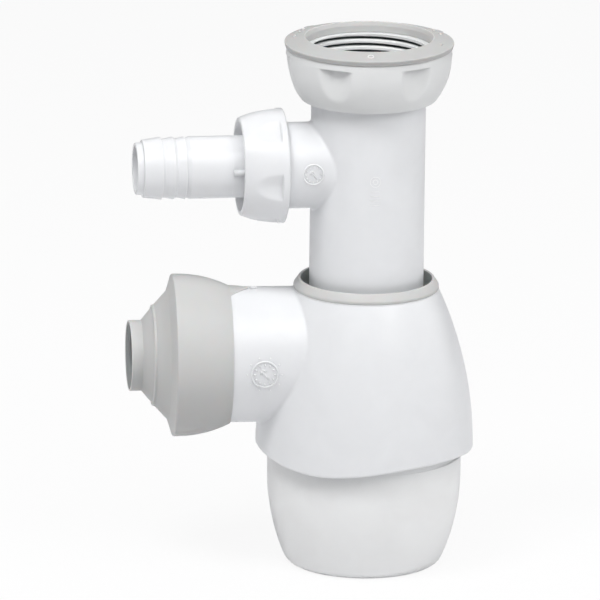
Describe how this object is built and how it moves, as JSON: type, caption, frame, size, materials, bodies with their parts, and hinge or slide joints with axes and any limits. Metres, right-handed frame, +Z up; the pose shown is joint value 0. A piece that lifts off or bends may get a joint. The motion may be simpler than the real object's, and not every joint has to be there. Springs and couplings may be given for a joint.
{
  "type": "sink bottle trap",
  "caption": "White plastic bottle trap with a union nut inlet, a sliding inlet tube, a side hose tail, a soft grey outlet seal and a screw-off cup.",
  "frame": {"origin": "centre of the cup's flat base", "axes": "+Z up the inlet tube, -X along the waste outlet, +Y to the back of the trap"},
  "size_m": [0.1336, 0.084, 0.2083],
  "materials": {
    "white_moulding": "glossy white injection-moulded polypropylene",
    "grey_soft": "matt light grey soft elastomer"
  },
  "bodies": {
    "trap": {"trap_body": "white_moulding", "dip_sleeve": "white_moulding", "outlet_seal": "grey_soft"},
    "neck_ring": {"neck_seal": "grey_soft"},
    "riser": {"inlet_tube": "white_moulding", "inlet_washer": "grey_soft"},
    "union_nut": {"inlet_nut": "white_moulding", "inlet_nut_ring": "grey_soft"},
    "hose_tail": {"hose_nozzle": "white_moulding", "hose_washer": "grey_soft"},
    "hose_union": {"hose_nut": "white_moulding"},
    "cup_packing": {"cup_seal": "grey_soft"},
    "cup": {"cup": "white_moulding"}
  },
  "joints": [
    {"name": "tube_swivel", "type": "hinge", "parent": "trap", "child": "neck_ring", "pos_m": [0, 0, 0.11], "axis": [0, 0, 1], "continuous": true},
    {"name": "tube_slide", "type": "slide", "parent": "neck_ring", "child": "riser", "axis": [0, 0, 1], "range_m": [-0.022, 0.05]},
    {"name": "union_nut_spin", "type": "hinge", "parent": "riser", "child": "union_nut", "pos_m": [0, 0, 0.186], "axis": [0, 0, 1], "continuous": true},
    {"name": "hose_tail_draw", "type": "slide", "parent": "riser", "child": "hose_tail", "axis": [-0.9986, -0.0523, 0], "range_m": [0, 0.00704]},
    {"name": "hose_nut_turn", "type": "hinge", "parent": "hose_tail", "child": "hose_union", "pos_m": [-0.04294, -0.00225, 0.158], "axis": [-0.9986, -0.0523, 0], "range_deg": [0, 1080]},
    {"name": "cup_draw", "type": "slide", "parent": "trap", "child": "cup_packing", "axis": [0, 0, -1], "range_m": [0, 0.0082]},
    {"name": "cup_turn", "type": "hinge", "parent": "cup_packing", "child": "cup", "pos_m": [0, 0, 0.03], "axis": [0, 0, -1], "range_deg": [0, 720]}
  ],
  "couplings": [
    {"joint": "hose_tail_draw", "follows": "hose_nut_turn", "m_per_rad": 0.00036749},
    {"joint": "cup_draw", "follows": "cup_turn", "m_per_rad": 0.00063662}
  ]
}
